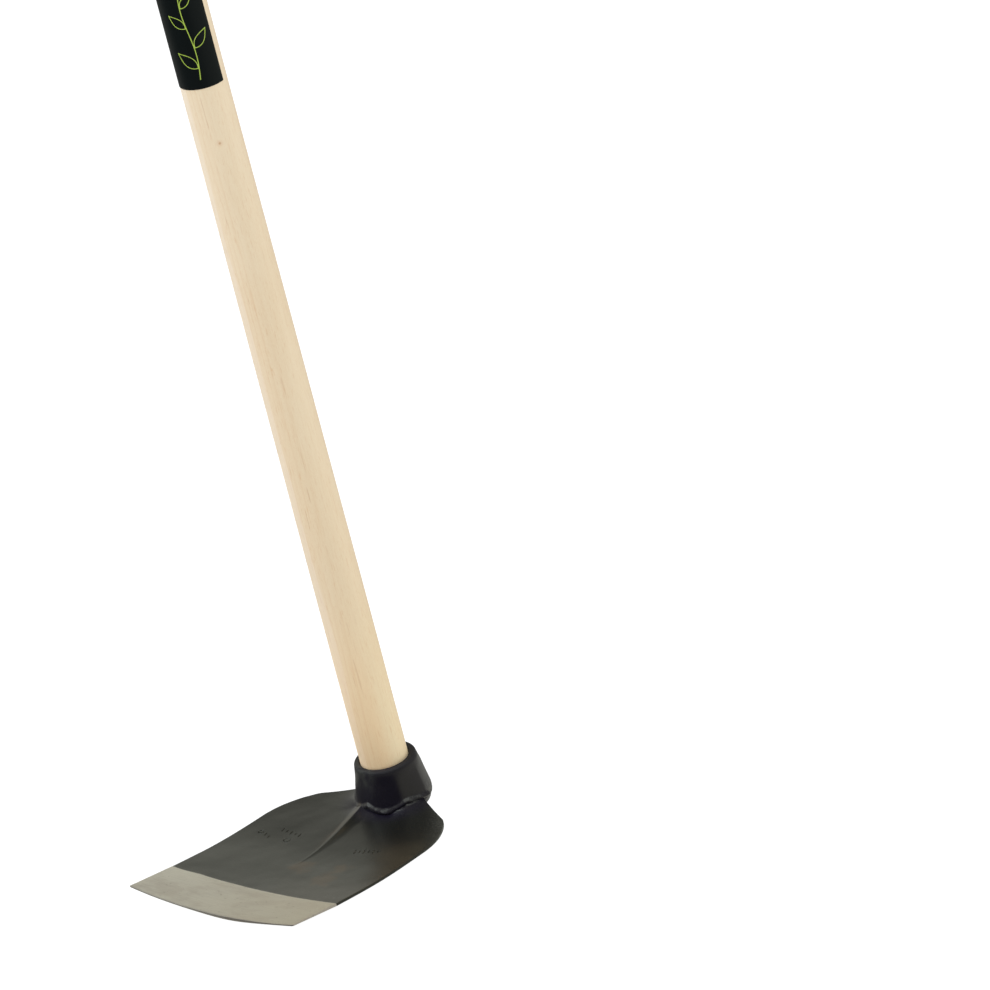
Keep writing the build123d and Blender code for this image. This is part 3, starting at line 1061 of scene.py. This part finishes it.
def wood(name, base, dark):
    """Ash: growth rings round a far heart, long fibres, short pores, a painted sheen along one side and
    end grain.
    """
    m = new_material(name)
    x, y, z = m.xyz()
    ring = ring_distance(m, x, y)
    across = m.more(y, GRAIN_Y, m.times(x, GRAIN_X))
    quartered = m.ramp(across, 0.004, -0.009, 0.25, 1.0)
    late = late_wood(m, ring, quartered)
    fibre = m.grain((900, 900, 24), 3, 0.6)
    mottle = m.grain((1100, 1100, 500), 3, 0.7)
    pore = m.ramp(m.grain((1500, 1500, 105), 2, 0.6), 0.58, 0.70)
    fleck = m.ramp(m.grain((420, 420, 40), 2), 0.62, 0.75)
    streak = m.times(quartered, m.ramp(m.grain((520, 520, 34), 2, offset=(9, 1, 4)), 0.66, 0.74))
    # Painted sheen: a pale band along the side towards -X and the blade, with a wavering inner border.
    side_edge = m.more(m.grain((0, 0, 5), 2, offset=(0, 0, 3)), 0.010, -0.0182)
    edge_sheen = m.ramp(m.math("SUBTRACT", across, side_edge), 0.0, -0.0007)
    colour = m.over(base, dark, late, 0.32)
    for mark, mask, strength in (
        (dark, m.ramp(fibre, 0.35, 0.75), 0.14),
        (dark, m.ramp(mottle, 0.35, 0.70), 0.18),
        (PORE, pore, 0.36),
        (FLECK, fleck, 0.20),
        (STREAK, streak, 0.45),
        (CLOUD, m.ramp(m.grain((30, 30, 4), 3), 0.35, 0.65), 0.25),
        (EDGE_SHEEN, edge_sheen, 0.28),
    ):
        colour = m.over(colour, mark, mask, strength)
    colour = knot_and_chip(m, end_grain(m, colour, ring, mottle, z))
    tone = m.mix(m.ramp(z, 0.50, 0.10, kind="LINEAR"), TONE_UP, TONE_DOWN)
    # Warmer near the eye: a stain, and on the side towards -X and the blade a painted warmth of the light
    # in its shade.
    near_eye_stain_and_shade = m.mix(m.ramp(across, -0.002, 0.012), TONE_EYE_LEFT_STAIN_AND_SHADE, TONE_EYE_RIGHT)
    tone = m.mix(m.ramp(z, 0.17, 0.0), tone, near_eye_stain_and_shade)
    m.set(
        base_color=m.mix(1.0, colour, tone, "MULTIPLY"),
        roughness=m.ramp(fibre, 0.3, 0.7, 0.5, 0.62, "LINEAR"),
    )
    m.set_constant("Specular IOR Level", 0.4)
    m.set_constant("Sheen Weight", 0.05)
    m.set_constant("Sheen Roughness", 0.3)
    m.bump(m.more(late, 0.5, fibre), 0.00006, 0.5)
    return m.owner


def printed_film():
    """Satin film, lime at the grip's end and running into near-black."""
    m = new_material("label_film")
    z = m.xyz()[2]
    down = m.math("SUBTRACT", LABEL_TOP * MM, z)
    colour = m.mix(m.ramp(down, 0.004, 0.030, kind="LINEAR"), srgb(166, 194, 58), srgb(82, 94, 56))
    colour = m.mix(m.ramp(down, 0.026, 0.082), colour, srgb(13, 18, 18))
    patch = m.noise(500, 2)
    m.set(base_color=colour, roughness=m.ramp(patch, 0.3, 0.7, 0.38, 0.44, "LINEAR"))
    m.set_constant("Specular IOR Level", 0.13)
    m.bump(m.grain((40, 40, 12), 2), 0.0002, 0.3)
    return m.owner


def ink(name, colour):
    """Printed ink: nearly the film's own gloss, and slightly uneven."""
    m = new_material(name)
    patch = m.noise(700, 3, 0.6)
    worn = tuple(0.86 * c for c in colour)
    m.set(base_color=m.mix(m.ramp(patch, 0.35, 0.7), colour, worn), roughness=0.34)
    return m.owner


def wedge_steel():
    """Rolled steel with streaks along the wedge."""
    m = new_material("wedge_steel")
    streak = m.grain((700, 700, 40), 3)
    m.set(base_color=m.mix(streak, srgb(150, 146, 138), srgb(112, 104, 94)), metallic=1.0, roughness=0.42)
    m.bump(streak, 0.0001, 0.4)
    return m.owner


def paint(piece, *materials):
    piece.data.materials.clear()
    for material in materials:
        piece.data.materials.append(material)


paint(head, black_and_ground(), raw_edge(), stamp_floor())
paint(handle, wood("handle_wood", srgb(227, 208, 177), srgb(214, 181, 139)))
paint(wood_wedge, wood("wedge_wood", srgb(214, 190, 150), srgb(180, 146, 104)))
paint(steel_wedge, wedge_steel())
paint(film, printed_film())
paint(lime_print, ink("lime_ink", srgb(166, 192, 72)))
paint(white_print, ink("white_ink", srgb(236, 236, 232)))
paint(dark_print, ink("dark_ink", srgb(22, 24, 24)))

for piece, node, slot_name in (
    (head, "hoe_head", "black_forging"),
    (handle, "handle", "handle_wood"),
    (wood_wedge, "wood_wedge", "wedge_wood"),
    (steel_wedge, "steel_wedge", "wedge_steel"),
    (film, "label", "label_film"),
):
    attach(piece, "root")
    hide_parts(node)
for piece in (lime_print, white_print, dark_print):
    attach(piece, "root")


# ---- floor, light and camera

FLOOR_HALF_WIDTH = 9000.0

# Brightness of the sky by height: 0 at the horizon, 1 overhead
SKY = ((0.0, 0.50), (0.13, 0.46), (0.26, 0.33), (0.42, 0.26), (0.65, 0.23), (1.0, 0.15))
SKY_TINT, BOX_TINT = (1.0, 1.0, 0.90), (0.92, 1.0, 1.18)
FRONT_DARKER, SIDE_DARKER, BACK_STRENGTH = 0.88, 0.45, 0.55
BOX_STRENGTH, RIGHT_BOX_SHARE = 2.5, 0.75

# Lamps: place, size in metres and power in watts
LAMP_TARGET, LAMP_SIZE = (0, 0, 0.3), 2.6
KEY_PLACE, KEY_POWER = (-1.6, -2.2, 2.6), 42
FILL_PLACE, FILL_POWER = (2.6, -0.4, 2.4), 34

# Camera: metres from the handle's axis and over the origin, degrees, and millimetres of lens
CAMERA_AZIMUTH, CAMERA_AWAY, CAMERA_HEIGHT = 47.4, 3.75, 1.99
CAMERA_YAW, CAMERA_PITCH, CAMERA_ROLL = -45.48114, 25.73335, -14.13162
CAMERA_LENS, CAMERA_SENSOR = 210.67, 36.0


def build_floor():
    """A white light table: it glows enough to keep the shadows on it faint."""
    half = FLOOR_HALF_WIDTH
    corners = [(-half, -half), (half, -half), (half, half), (-half, half)]
    floor = new_object("floor", [(x, y, EYE_LOW) for x, y in corners], [(0, 1, 2, 3)])
    m = new_material("floor")
    m.set(base_color=(0.15, 0.15, 0.15), roughness=0.9)
    m.set_constant("Specular IOR Level", 0.0)
    m.set_constant("Emission Color", (1.0, 1.0, 1.0, 1.0))
    m.set_constant("Emission Strength", 1.0)
    paint(floor, m.owner)
    floor.visible_glossy = False


def towards(azimuth, elevation):
    """Unit vector: azimuth is counted from the blade's side towards +X."""
    a, e = math.radians(azimuth), math.radians(elevation)
    return Vector((math.sin(a) * math.cos(e), -math.cos(a) * math.cos(e), math.sin(e)))


def studio_light(m, where):
    """Colour and strength of the light: a gradient, a dark front, a bright back, two soft boxes."""
    height = m.xyz(where)[2]
    gradient = m.node("ShaderNodeValToRGB", {0: height})
    while len(gradient.color_ramp.elements) < len(SKY):
        gradient.color_ramp.elements.new(0.5)
    for element, (position, value) in zip(gradient.color_ramp.elements, SKY):
        element.position = position
        element.color = (value, value, value, 1)

    def lobe(azimuth, elevation, edge, full):
        """1 within full degrees of a direction, 0 beyond edge degrees."""
        dot = m.vectors("DOT_PRODUCT", where, tuple(towards(azimuth, elevation)))
        return m.ramp(dot, math.cos(math.radians(edge)), math.cos(math.radians(full)))

    front = m.times(lobe(5, 0, 86, 42), m.ramp(height, 0.55, 0.25))
    back = m.times(lobe(222, 10, 75, 35), m.ramp(height, 0.40, 0.18), m.ramp(height, -0.25, 0.05))
    side = m.times(lobe(-112, -8, 50, 20), m.ramp(height, 0.22, 0.02))
    boxes = m.more(lobe(102, 56, 28, 17), RIGHT_BOX_SHARE, lobe(-40, 50, 32, 20))
    strength = m.times(gradient.outputs[0], m.more(front, -FRONT_DARKER, 1.0))
    strength = m.more(back, BACK_STRENGTH, strength)
    strength = m.times(strength, m.more(side, -SIDE_DARKER, 1.0))
    strength = m.more(boxes, BOX_STRENGTH, strength)
    return m.mix(boxes, SKY_TINT, BOX_TINT), strength


def build_world():
    """A studio that is plain white to the camera, and lights the hoe unevenly."""
    world = bpy.data.worlds.new("studio")
    bpy.context.scene.world = world
    m = Nodes(world)
    m.tree.nodes.clear()
    where = m.node("ShaderNodeTexCoord").outputs["Generated"]
    tint, strength = studio_light(m, where)
    tent = m.node("ShaderNodeBackground", {"Color": tint, "Strength": strength})
    white = m.node("ShaderNodeBackground", {"Color": (1.0, 1.0, 1.0, 1.0), "Strength": 1.0})
    seen = m.node("ShaderNodeLightPath").outputs["Is Camera Ray"]
    choose = m.node("ShaderNodeMixShader", {0: seen, 1: tent.outputs[0], 2: white.outputs[0]})
    m.node("ShaderNodeOutputWorld", {0: choose.outputs[0]})


def area_light(name, place, power):
    """A round lamp aimed at the hoe, which gives no highlight of its own."""
    data = bpy.data.lights.new(name, "AREA")
    data.shape = "DISK"
    data.size = LAMP_SIZE
    data.energy = power
    lamp = in_scene(name, data)
    lamp.location = place
    lamp.rotation_euler = (Vector(LAMP_TARGET) - Vector(place)).to_track_quat("-Z", "Y").to_euler()
    lamp.visible_glossy = False


def build_camera():
    """Stands to the blade's right at working height and is turned so that the handle leans left."""
    yaw, pitch, roll = (math.radians(a) for a in (CAMERA_YAW, CAMERA_PITCH, CAMERA_ROLL))
    forward = Vector((math.sin(yaw) * math.cos(pitch), math.cos(yaw) * math.cos(pitch), -math.sin(pitch)))
    level = Vector((math.cos(yaw), -math.sin(yaw), 0))
    upright = level.cross(forward)
    right = level * math.cos(roll) + upright * math.sin(roll)
    up = right.cross(forward)
    place = towards(CAMERA_AZIMUTH, 0) * CAMERA_AWAY + Vector((0, 0, CAMERA_HEIGHT))
    turn = Matrix((right, up, -forward)).transposed().to_4x4()
    data = bpy.data.cameras.new("camera")
    data.lens = CAMERA_LENS
    data.sensor_width = CAMERA_SENSOR
    data.clip_end = 60.0
    camera = in_scene("camera", data)
    camera.matrix_world = Matrix.Translation(place) @ turn
    bpy.context.scene.camera = camera


build_floor()
build_world()
area_light("key", KEY_PLACE, KEY_POWER)
area_light("fill", FILL_PLACE, FILL_POWER)
build_camera()
bpy.context.scene.view_settings.view_transform = "Standard"
